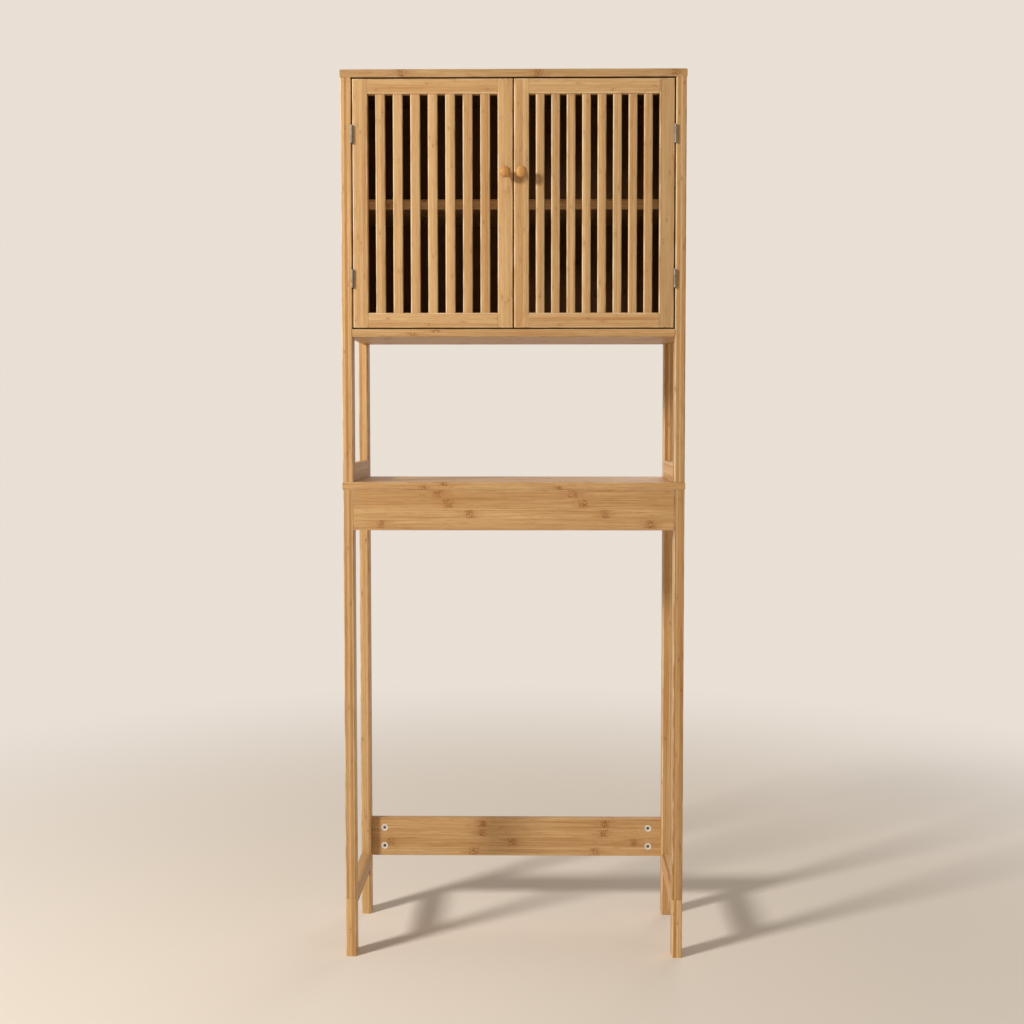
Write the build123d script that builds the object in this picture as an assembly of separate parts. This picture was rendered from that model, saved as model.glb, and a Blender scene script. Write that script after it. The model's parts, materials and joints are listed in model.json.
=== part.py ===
from build123d import *
import os

# A bamboo cabinet that stands over a toilet, on four long legs.
# Two side frames carry an open shelf, and a closed cabinet with two slatted doors above it.
# +X is to the right as seen from the front, -Y is the front, +Z is up.
# The origin is on the floor, in the middle of the width, and of the depth with the knobs.
# All sizes are in millimetres.

os.makedirs("parts", exist_ok=True)

# Posts and legs; a tenon under each post goes through the open shelf into the leg
frame_width = 658.0
frame_depth = 249.0
leg_length = 916.5
post_length = 769.5
post_width = 20.0
post_depth = 32.0
post_ease = 2.0
post_tenon_width = 8.0
post_tenon_depth = 16.0
post_tenon_in_leg = 20.0
post_tenon_in_top = 10.0

# Top panel, open shelf and cabinet bottom
board_thickness = 15.0
board_overhang = 1.0
board_ease = 1.5
cabinet_bottom_thickness = 15.0
bottom_tenon_from_face = 19.0
bottom_tenon_width = 12.0
bottom_tenon_length = 10.0

# Rails, each with a tenon at both ends
apron_height = 78.0
apron_thickness = 15.0
shelf_rail_height = 35.0
shelf_rail_thickness = 15.0
stretcher_height = 34.0
stretcher_above_floor = 97.0
rail_ease = 1.0
tenon_thickness = 7.0
tenon_length = 12.0
tenon_shoulder = 4.0
glue_gap = 0.1

# Low rail across the back, pulled against the legs by cam fittings
back_stretcher_height = 81.0
back_stretcher_thickness = 15.0
back_stretcher_above_floor = 121.0
cam_radius = 7.5
cam_depth = 12.5
cam_from_end = 28.0
cam_spacing = 39.0
cam_socket_size = 6.0
cam_socket_depth = 3.0
cam_bolt_radius = 3.0
cam_bolt_in_leg = 11.0
cam_bolt_past_centre = 3.0
cam_bolt_gap = 0.3

# Closed cabinet
cabinet_height = 491.0
side_panel_thickness = 12.0
tongue_thickness = 6.0
tongue_length = 6.0
back_panel_thickness = 5.0
back_panel_inset = 5.0
back_panel_groove = 5.0
inner_shelf_thickness = 20.0
inner_shelf_height = 230.0
inner_shelf_end_gap = 1.0
inner_shelf_door_gap = 3.0
inner_shelf_back_gap = 1.0
inner_shelf_ease = 2.0
shelf_pin_radius = 2.5
shelf_pin_reach = 8.0
shelf_pin_seat = 8.0
shelf_pin_from_edge = 40.0

# Doors, set flush between the front posts
door_gap = 2.5
door_thickness = 18.0
door_ease = 2.0
stile_width = 28.5
door_rail_height = 28.5
door_tenon_thickness = 7.0
door_tenon_length = 14.0
door_tenon_shoulder = 6.0
left_slat_count = 7
right_slat_count = 8
left_slat_width = 18.3
right_slat_width = 16.4
slat_thickness = 9.0
slat_recess = 3.0
slat_seat = 8.0
slat_ease = 2.0

# Turned knobs and their screws
knob_radius = 10.75
knob_reach = 24.0
knob_foot_radius = 6.5
knob_foot_thickness = 2.5
knob_neck_radius = 4.8
knob_head_thickness = 12.0
knob_crown_radius = 7.5
knob_crown_height = 3.5
knob_above_cabinet_floor = 295.0
knob_screw_radius = 2.0
knob_screw_head_radius = 4.0
knob_screw_head_height = 2.4
knob_screw_bite = 14.0
knob_screw_gap = 0.2

# Butt hinges, let into the posts and the stiles
hinge_height = 35.0
hinge_from_door_top = 104.5
hinge_from_door_bottom = 93.5
hinge_barrel_radius = 2.5
hinge_pin_radius = 1.25
hinge_pin_running_gap = 0.05
knuckle_count = 3
knuckle_gap = 0.3
leaf_thickness = 1.0
leaf_depth = 14.0
leaf_barrel_gap = 0.3

# Double magnetic catch under the top panel, and a strike plate on each door
catch_width = 54.0
catch_height = 16.0
catch_housing_depth = 10.0
catch_flange_depth = 22.0
catch_flange_thickness = 3.0
magnet_width = 12.0
magnet_height = 9.0
magnet_thickness = 4.0
strike_from_door_top = 7.5
strike_width = 14.0
strike_height = 10.0
strike_thickness = 1.5
strike_magnet_gap = 0.3

# Levels and planes that the pieces share
front_y = (knob_reach - frame_depth) / 2
back_y = front_y + frame_depth
front_post_y = (front_y, front_y + post_depth)
back_post_y = (back_y - post_depth, back_y)
opening_half = frame_width / 2 - post_width
shelf_top = leg_length + board_thickness
top_low = shelf_top + post_length
cabinet_low = top_low - cabinet_height
cabinet_floor = cabinet_low + cabinet_bottom_thickness
inner_shelf_low = cabinet_floor + inner_shelf_height
apron_z = (leg_length - apron_height, leg_length)
door_y = (front_y, front_y + door_thickness)
door_z = (cabinet_floor + door_gap, top_low - door_gap)
hinge_x = opening_half - door_gap / 2
hinge_y = front_y - hinge_barrel_radius
hinge_levels = (door_z[0] + hinge_from_door_bottom, door_z[1] - hinge_from_door_top)
meeting_stile_x = (door_gap + stile_width) / 2
magnet_y = door_y[1] + strike_thickness + strike_magnet_gap
magnet_z = door_z[1] - strike_from_door_top
sides = {"left": -1, "right": 1}
slats_of = {
    "left": (left_slat_count, left_slat_width),
    "right": (right_slat_count, right_slat_width),
}


def span(side, near, far):
    return tuple(sorted((side * near, side * far)))


def middle(size, centre=0.0):
    return (centre - size / 2, centre + size / 2)


def grown(limits, gap):
    return (limits[0] - gap, limits[1] + gap)


def bar(x, y, z, ease=0.0, along=Axis.Z):
    # A straight bar between two values on each axis, with its long edges eased
    solid = Box(x[1] - x[0], y[1] - y[0], z[1] - z[0])
    if ease > 0:
        solid = chamfer(solid.edges().filter_by(along), ease)
    return Pos(sum(x) / 2, sum(y) / 2, sum(z) / 2) * solid


def rod(radius, start, direction, length):
    return Solid.make_cylinder(radius, length, Plane(start, z_dir=direction))


def turned(points):
    # A piece turned about its own +Z axis from (radius, height) points
    outline = Polyline([(r, 0, h) for r, h in points], close=True)
    return revolve(make_face(outline), Axis.Z)


def place(solid, origin, z_dir):
    return Plane(origin, z_dir=z_dir).location * solid


# Posts and legs

def upright(side, y, z):
    x = span(side, opening_half, opening_half + post_width)
    return bar(x, y, z, post_ease)


def post_tenons(side, y, gap):
    # Both of a post's tenons as one bar; with a gap, it cuts their mortises
    x = middle(post_tenon_width + 2 * gap, side * (opening_half + post_width / 2))
    tenon_y = middle(post_tenon_depth + 2 * gap, sum(y) / 2)
    z = (leg_length - post_tenon_in_leg, top_low + post_tenon_in_top)
    return bar(x, tenon_y, grown(z, gap))


# Rails that run from front to back

side_rails = {
    "apron": (apron_thickness, apron_z, post_tenon_in_leg),
    "shelf_rail": (shelf_rail_thickness, (shelf_top, shelf_top + shelf_rail_height), 0.0),
    "stretcher": (
        post_width,
        (stretcher_above_floor, stretcher_above_floor + stretcher_height),
        0.0,
    ),
}


def side_rail(side, thickness, z, clear_top):
    x = span(side, opening_half, opening_half + thickness)
    rail = bar(x, (front_post_y[1], back_post_y[0]), z, rail_ease, Axis.Y)
    return rail + side_tenons(side, thickness, z, clear_top, 0.0)


def side_tenons(side, thickness, z, clear_top, gap):
    # Clear_top keeps an apron's tenons under the tenons that come down from the posts
    x = middle(tenon_thickness, side * (opening_half + thickness / 2))
    y = (front_post_y[1] - tenon_length, back_post_y[0] + tenon_length)
    tenon_z = (z[0] + tenon_shoulder, z[1] - tenon_shoulder - clear_top)
    return bar(grown(x, gap), grown(y, gap), grown(tenon_z, gap))


# Boards that run across, between the side frames

def apron(y):
    rail = bar(middle(2 * opening_half), y, apron_z, rail_ease, Axis.X)
    return rail + apron_tenons(y, 0.0)


def apron_tenons(y, gap):
    x = middle(2 * (opening_half + tenon_length))
    tenon_y = middle(tenon_thickness, sum(y) / 2)
    z = (apron_z[0] + tenon_shoulder, apron_z[1] - tenon_shoulder - post_tenon_in_leg)
    return bar(grown(x, gap), grown(tenon_y, gap), grown(z, gap))


def bottom_tenons(gap):
    x = middle(2 * (opening_half + bottom_tenon_length))
    z = (cabinet_low + tenon_shoulder, cabinet_floor - tenon_shoulder)
    rows = (front_y + bottom_tenon_from_face, back_y - bottom_tenon_from_face)
    tenons = [
        bar(grown(x, gap), grown(middle(bottom_tenon_width, y), gap), grown(z, gap))
        for y in rows
    ]
    return tenons[0] + tenons[1]


def cabinet_bottom():
    x = middle(2 * opening_half)
    board = bar(x, (front_y, back_y), (cabinet_low, cabinet_floor), board_ease, Axis.X)
    return board + bottom_tenons(0.0) - back_panel()


def full_board(z_low):
    x = middle(frame_width + 2 * board_overhang)
    y = (front_y - board_overhang, back_y)
    board = bar(x, y, (z_low, z_low + board_thickness))
    for side in sides.values():
        for post_y in (front_post_y, back_post_y):
            board -= post_tenons(side, post_y, glue_gap)
    rims = board.faces().sort_by(Axis.Z)
    return chamfer(rims[0].outer_wire().edges() + rims[-1].outer_wire().edges(), board_ease)


# Low back rail and its cam fittings: in these, +X runs into the rail from its end

def cam_nut():
    face = back_stretcher_thickness / 2
    nut = rod(cam_radius, (cam_from_end, 0, face - cam_depth), (0, 0, 1), cam_depth)
    nut -= bar(
        (cam_from_end - cam_radius, cam_from_end + cam_bolt_past_centre + cam_bolt_gap),
        middle(2 * (cam_bolt_radius + cam_bolt_gap)),
        middle(2 * (cam_bolt_radius + cam_bolt_gap)),
    )
    socket = middle(cam_socket_size)
    return nut - bar(middle(cam_socket_size, cam_from_end), socket, (face - cam_socket_depth, face))


def cam_bolt():
    length = cam_bolt_in_leg + cam_from_end + cam_bolt_past_centre
    return rod(cam_bolt_radius, (-cam_bolt_in_leg, 0, 0), (1, 0, 0), length)


def cam_hole():
    start = back_stretcher_thickness / 2 - cam_depth
    return rod(cam_radius, (cam_from_end, 0, start), (0, 0, 1), cam_depth)


def cam_places(side):
    y = back_y - back_stretcher_thickness / 2
    middle_z = back_stretcher_above_floor + back_stretcher_height / 2
    return [
        Plane((side * opening_half, y, z), x_dir=(-side, 0, 0), z_dir=(0, -1, 0)).location
        for z in middle(cam_spacing, middle_z)
    ]


def back_stretcher():
    z = (back_stretcher_above_floor, back_stretcher_above_floor + back_stretcher_height)
    y = (back_y - back_stretcher_thickness, back_y)
    rail = bar(middle(2 * opening_half), y, z, rail_ease, Axis.X)
    for side in sides.values():
        for location in cam_places(side):
            rail = rail - location * cam_hole() - location * cam_bolt()
    return rail


# Panels and shelf of the closed cabinet

def back_panel():
    x = middle(2 * (opening_half + back_panel_groove))
    y = (back_y - back_panel_inset - back_panel_thickness, back_y - back_panel_inset)
    return bar(x, y, (cabinet_floor - back_panel_groove, top_low + back_panel_groove))


def side_panel(side):
    x = span(side, opening_half, opening_half + side_panel_thickness)
    panel = bar(x, (front_post_y[1], back_post_y[0]), (cabinet_low, top_low))
    return panel + side_tongues(side)


def side_tongues(side):
    # The tongues on both edges as one bar, which also cuts the posts' grooves
    x = middle(tongue_thickness, side * (opening_half + side_panel_thickness / 2))
    y = (front_post_y[1] - tongue_length, back_post_y[0] + tongue_length)
    return bar(x, y, (cabinet_low, top_low))


def shelf_pins(side):
    front = door_y[1] + inner_shelf_door_gap + shelf_pin_from_edge
    back = back_post_y[0] - shelf_pin_from_edge
    x = side * (opening_half - shelf_pin_reach)
    z = inner_shelf_low - shelf_pin_radius
    length = shelf_pin_reach + shelf_pin_seat
    return [rod(shelf_pin_radius, (x, y, z), (side, 0, 0), length) for y in (front, back)]


def inner_shelf():
    x = middle(2 * (opening_half - inner_shelf_end_gap))
    back = back_y - back_panel_inset - back_panel_thickness - inner_shelf_back_gap
    y = (door_y[1] + inner_shelf_door_gap, back)
    z = (inner_shelf_low, inner_shelf_low + inner_shelf_thickness)
    return bar(x, y, z, inner_shelf_ease, Axis.X)


# Butt hinges, made about the pin's middle, with the door on the +X side

def knuckle_spans(owner):
    # The post's leaf has the first knuckle and every other one, and the door's leaf the rest
    pitch = (hinge_height + knuckle_gap) / knuckle_count
    first = 0 if owner == "post" else 1
    lows = [i * pitch - hinge_height / 2 for i in range(first, knuckle_count, 2)]
    return [(low, low + pitch - knuckle_gap) for low in lows]


def hinge_recess(owner):
    side = -1 if owner == "post" else 1
    x = span(side, door_gap / 2, door_gap / 2 + leaf_thickness)
    return bar(x, (0, hinge_barrel_radius + leaf_depth), middle(hinge_height))


def hinge_leaf(owner):
    side = -1 if owner == "post" else 1
    x = span(side, door_gap / 2, door_gap / 2 + leaf_thickness)
    plate_start = hinge_barrel_radius + leaf_barrel_gap
    leaf = bar(x, (plate_start, hinge_barrel_radius + leaf_depth), middle(hinge_height))
    for z in knuckle_spans(owner):
        leaf += bar(x, (0, plate_start), z)
        leaf += rod(hinge_barrel_radius, (0, 0, z[0]), (0, 0, 1), z[1] - z[0])
    bore = hinge_pin_radius
    if owner == "door":
        bore += hinge_pin_running_gap
    return leaf - rod(bore, (0, 0, -hinge_height), (0, 0, 1), 2 * hinge_height)


def hinge_pin():
    return rod(hinge_pin_radius, (0, 0, -hinge_height / 2), (0, 0, 1), hinge_height)


def hang(solid, side, z):
    # The left side takes a hinge piece as made, and the right side takes its mirror image
    if side > 0:
        solid = mirror(solid, Plane.YZ)
    return Pos(side * hinge_x, hinge_y, z) * solid


def hung(solid, side):
    return [hang(solid, side, z) for z in hinge_levels]


# Catch

def magnet(side):
    x = middle(magnet_width, side * meeting_stile_x)
    return bar(x, (magnet_y, magnet_y + magnet_thickness), middle(magnet_height, magnet_z))


def catch_body():
    x = middle(catch_width)
    housing = (magnet_y, magnet_y + catch_housing_depth)
    flange = (magnet_y, magnet_y + catch_flange_depth)
    body = bar(x, housing, (top_low - catch_height, top_low))
    body += bar(x, flange, (top_low - catch_flange_thickness, top_low))
    for side in sides.values():
        body -= magnet(side)
    return body


# Doors

def knob():
    # A foot, a waist, and a round head with a shallow crown
    neck_end = knob_reach - knob_head_thickness
    return turned([
        (0, 0),
        (knob_foot_radius, 0),
        (knob_foot_radius, knob_foot_thickness),
        (knob_neck_radius, knob_foot_thickness),
        (knob_neck_radius, neck_end),
        (knob_radius, neck_end),
        (knob_radius, knob_reach - knob_crown_height),
        (knob_crown_radius, knob_reach),
        (0, knob_reach),
    ])


def knob_screw():
    # The head's underside is at height 0, and the shank runs along +Z through the stile
    end = door_thickness + knob_screw_bite
    return turned([
        (0, -knob_screw_head_height),
        (knob_screw_head_radius, -knob_screw_head_height),
        (knob_screw_head_radius, 0),
        (knob_screw_radius, 0),
        (knob_screw_radius, end),
        (0, end),
    ])


def strike(side):
    x = middle(strike_width, side * meeting_stile_x)
    y = (door_y[1], door_y[1] + strike_thickness)
    return bar(x, y, middle(strike_height, magnet_z))


def door_pieces(name):
    side = sides[name]
    near = door_gap / 2
    far = opening_half - door_gap
    inner_x = (near + stile_width, far - stile_width)
    inner_z = grown(door_z, -door_rail_height)

    # The frame is eased along its rims as one blank, and then parted into stiles and rails
    blank = bar(span(side, near, far), door_y, door_z)
    blank -= bar(span(side, *inner_x), door_y, inner_z)
    rims = blank.faces().sort_by(Axis.Y)
    blank = chamfer(rims[0].edges() + rims[-1].edges(), door_ease)
    stiles = {
        "hinge_stile": blank & bar(span(side, inner_x[1], far), door_y, door_z),
        "meeting_stile": blank & bar(span(side, near, inner_x[0]), door_y, door_z),
    }
    rails = {}
    levels = {"bottom_rail": (door_z[0], inner_z[0]), "top_rail": (inner_z[1], door_z[1])}
    for rail, level in levels.items():
        x = span(side, *grown(inner_x, door_tenon_length))
        y = middle(door_tenon_thickness, sum(door_y) / 2)
        z = grown(level, -door_tenon_shoulder)
        for stile in stiles:
            stiles[stile] -= bar(grown(x, glue_gap), grown(y, glue_gap), grown(z, glue_gap))
        rails[rail] = (blank & bar(span(side, *inner_x), door_y, level)) + bar(x, y, z)

    slats = {}
    count, width = slats_of[name]
    left, right = span(side, *inner_x)
    space = (right - left - count * width) / (count + 1)
    y = (front_y + slat_recess, front_y + slat_recess + slat_thickness)
    for i in range(count):
        x = left + space + i * (width + space)
        slat = bar((x, x + width), y, grown(inner_z, slat_seat), slat_ease)
        for rail in rails:
            rails[rail] -= slat
        slats[f"slat_{i + 1}"] = slat

    knob_x = side * meeting_stile_x
    knob_z = cabinet_floor + knob_above_cabinet_floor
    screw = place(knob_screw(), (knob_x, door_y[1], knob_z), (0, -1, 0))
    hole_radius = knob_screw_radius + knob_screw_gap
    stiles["meeting_stile"] -= rod(
        hole_radius, (knob_x, front_y, knob_z), (0, 1, 0), door_thickness
    )
    for z in hinge_levels:
        stiles["hinge_stile"] -= hang(hinge_recess("door"), side, z)

    pieces = {**stiles, **rails, **slats}
    pieces["knob"] = place(knob(), (knob_x, front_y, knob_z), (0, -1, 0)) - screw
    pieces["knob_screw"] = screw
    pieces["strike"] = strike(side)
    pieces["hinge_leaves"] = Compound(hung(hinge_leaf("door"), side))
    return {f"{name}_door_{piece}": solid for piece, solid in pieces.items()}


# The whole assembly

front_apron_y = (front_y, front_y + apron_thickness)
back_apron_y = (back_y - apron_thickness, back_y)
nodes = {
    "top_panel": full_board(top_low) - back_panel(),
    "open_shelf": full_board(leg_length),
    "front_apron": apron(front_apron_y),
    "back_apron": apron(back_apron_y),
    "back_stretcher": back_stretcher(),
    "cabinet_bottom": cabinet_bottom(),
    "back_panel": back_panel(),
    "inner_shelf": inner_shelf(),
}

pins = []
fittings = []
leaves = []
hinge_pins = []
for name, side in sides.items():
    for row, y in {"front": front_post_y, "back": back_post_y}.items():
        post = upright(side, y, (shelf_top, top_low)) + post_tenons(side, y, 0.0)
        post -= side_tenons(side, *side_rails["shelf_rail"], glue_gap)
        post = post - side_tongues(side) - bottom_tenons(glue_gap)
        leg = upright(side, y, (0, leg_length)) - post_tenons(side, y, glue_gap)
        for rail in ("apron", "stretcher"):
            leg -= side_tenons(side, *side_rails[rail], glue_gap)
        if row == "front":
            leg -= apron_tenons(front_apron_y, glue_gap)
            for recess in hung(hinge_recess("post"), side):
                post -= recess
        else:
            post -= back_panel()
            leg -= apron_tenons(back_apron_y, glue_gap)
            for location in cam_places(side):
                leg -= location * cam_bolt()
        nodes[f"{name}_{row}_post"] = post
        nodes[f"{name}_{row}_leg"] = leg
    for rail, sizes in side_rails.items():
        nodes[f"{name}_{rail}"] = side_rail(side, *sizes)
    panel = side_panel(side)
    for pin in shelf_pins(side):
        panel -= pin
        pins.append(pin)
    nodes[f"{name}_side_panel"] = panel
    for location in cam_places(side):
        fittings += [location * cam_nut(), location * cam_bolt()]
    leaves += hung(hinge_leaf("post"), side)
    hinge_pins += hung(hinge_pin(), side)

nodes["shelf_pins"] = Compound(pins)
nodes["cam_fittings"] = Compound(fittings)
nodes["post_hinge_leaves"] = Compound(leaves)
nodes["hinge_pins"] = Compound(hinge_pins)
nodes["door_catch"] = Compound([catch_body()] + [magnet(side) for side in sides.values()])

for name in sides:
    nodes.update(door_pieces(name))

for name, solid in nodes.items():
    export_step(solid, f"parts/{name}.step")

print(len(nodes), "sub-parts written")
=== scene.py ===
import json
import math
import random

import bmesh
import bpy
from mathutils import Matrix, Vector


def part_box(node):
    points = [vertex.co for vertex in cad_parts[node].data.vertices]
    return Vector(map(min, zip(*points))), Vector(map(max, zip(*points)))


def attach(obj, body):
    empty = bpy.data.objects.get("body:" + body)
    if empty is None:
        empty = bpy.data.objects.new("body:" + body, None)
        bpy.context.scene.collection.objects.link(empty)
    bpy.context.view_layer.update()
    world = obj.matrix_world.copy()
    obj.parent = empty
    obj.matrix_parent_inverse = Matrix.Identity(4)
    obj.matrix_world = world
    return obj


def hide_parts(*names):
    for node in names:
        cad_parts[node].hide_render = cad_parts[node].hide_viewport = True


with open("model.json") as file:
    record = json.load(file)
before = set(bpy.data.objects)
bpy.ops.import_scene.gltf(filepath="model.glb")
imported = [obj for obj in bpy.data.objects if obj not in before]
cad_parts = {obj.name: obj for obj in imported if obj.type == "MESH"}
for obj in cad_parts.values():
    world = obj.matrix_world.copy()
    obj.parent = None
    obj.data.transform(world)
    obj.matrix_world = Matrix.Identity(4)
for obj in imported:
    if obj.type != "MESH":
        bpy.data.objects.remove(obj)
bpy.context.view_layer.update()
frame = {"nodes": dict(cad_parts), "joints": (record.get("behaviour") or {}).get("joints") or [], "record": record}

# A bamboo cabinet for over a toilet: every stick of it is dressed from its own solid

scene = bpy.context.scene
print("Frame loaded:", len(frame["nodes"]), "nodes")


# Small helpers for node trees

def addSockets(group, inputs, outputs):
    for name, kind, value in inputs:
        socket = group.interface.new_socket(
            name=name, in_out="INPUT", socket_type="NodeSocket" + kind
        )
        if value is not None:
            socket.default_value = value
    for name, kind in outputs:
        group.interface.new_socket(name=name, in_out="OUTPUT", socket_type="NodeSocket" + kind)
    return group.nodes.new("NodeGroupInput").outputs, group.nodes.new("NodeGroupOutput").inputs


def feed(tree, socket, value):
    # A socket takes a plain value or the output of another node
    if isinstance(value, bpy.types.NodeSocket):
        tree.links.new(value, socket)
    else:
        socket.default_value = value


def calc(tree, operation, a, b=0.0, c=0.0):
    node = tree.nodes.new("ShaderNodeMath")
    node.operation = operation
    for socket, value in zip(node.inputs, (a, b, c)):
        feed(tree, socket, value)
    return node.outputs[0]


def plus(tree, a, b):
    return calc(tree, "ADD", a, b)


def less(tree, a, b):
    return calc(tree, "SUBTRACT", a, b)


def times(tree, a, b):
    return calc(tree, "MULTIPLY", a, b)


def stepUp(tree, value, low, high):
    # 0 below low, 1 above high, and smooth between
    node = tree.nodes.new("ShaderNodeMapRange")
    node.interpolation_type = "SMOOTHSTEP"
    feed(tree, node.inputs[0], value)
    feed(tree, node.inputs[1], low)
    feed(tree, node.inputs[2], high)
    return node.outputs[0]


def mixColour(tree, share, a, b):
    # The Mix node's colour sockets are its inputs 6 and 7 and its output 2
    node = tree.nodes.new("ShaderNodeMix")
    node.data_type = "RGBA"
    feed(tree, node.inputs[0], share)
    feed(tree, node.inputs[6], a)
    feed(tree, node.inputs[7], b)
    return node.outputs[2]


def joinVector(tree, x, y, z):
    node = tree.nodes.new("ShaderNodeCombineXYZ")
    for socket, value in zip(node.inputs, (x, y, z)):
        feed(tree, socket, value)
    return node.outputs[0]


def scaledBy(tree, vector, factors):
    node = tree.nodes.new("ShaderNodeVectorMath")
    node.operation = "MULTIPLY"
    feed(tree, node.inputs[0], vector)
    node.inputs[1].default_value = factors
    return node.outputs[0]


def stretched(tree, vector, along, across):
    # Grain coordinates scaled so that a pattern runs long with the fibres
    return scaledBy(tree, vector, (along, across, across))


def cloud(tree, vector, detail=2.0, rough=0.5):
    node = tree.nodes.new("ShaderNodeTexNoise")
    node.inputs["Scale"].default_value = 1.0
    node.inputs["Detail"].default_value = detail
    node.inputs["Roughness"].default_value = rough
    feed(tree, node.inputs["Vector"], vector)
    return node.outputs[0]


def dice(tree, vector):
    # Three chance values that stay the same wherever the vector is the same
    node = tree.nodes.new("ShaderNodeTexWhiteNoise")
    feed(tree, node.inputs["Vector"], vector)
    split = tree.nodes.new("ShaderNodeSeparateColor")
    tree.links.new(node.outputs["Color"], split.inputs[0])
    return node.outputs["Value"], split.outputs[0], split.outputs[1]


# Laminated bamboo, shared by every wooden finish

caneClouds = {  # repeats per metre along the fibres and across them, then detail and roughness
    "bend": (2.0, 6.0, 2.0, 0.5),
    "fine": (18.0, 1500.0, 3.0, 0.6),
    "medium": (7.0, 420.0, 2.0, 0.55),
    "broad": (2.2, 90.0, 1.0, 0.5),
    "streak": (4.5, 560.0, 2.0, 0.5),
    "fleck": (38.0, 430.0, 2.0, 0.6),
    "fray": (260.0, 420.0, 2.0, 0.5),
    "comb": (520.0, 260.0, 2.0, 0.6),
}
caneLimits = {  # where each starts to show, and where it shows in full
    "streak": (0.57, 0.74), "streakArea": (0.42, 0.68), "fleck": (0.52, 0.72),
    "node": (0.12, 0.5), "nodeMark": (0.41, 0.57), "nodeSpark": (0.34, 0.42),
    "trail": (0.2, 1.5), "trailFibres": (0.42, 0.62),
    "stripMiddle": (0.02, 0.4), "glueLine": (0.0001, 0.0006),
}
caneBuild = {
    "stripBend": 0.0012, "layerDepth": 0.021, "seedAcross": 0.37,
    "driftAlong": 3.1, "driftByStrip": 3.7, "nodeSpread": 7.0, "nodesShown": 0.74,
}
caneShares = {  # how far each effect moves the tone, the colour, the height or the gloss
    "middleTone": 0.56, "driftTone": 0.55, "broadTone": 0.5, "fineTone": 0.8, "mediumTone": 1.2,
    "stripWarmth": 0.16, "haze": 0.55, "hazeInNode": 0.5, "spark": 0.6,
    "fineHeight": 0.6, "mediumHeight": 0.4, "nodeHeight": 0.5, "glueHeight": 0.4,
    "fineDull": 0.10, "nodeDull": 0.12, "streakDull": 0.06,
}


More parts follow.
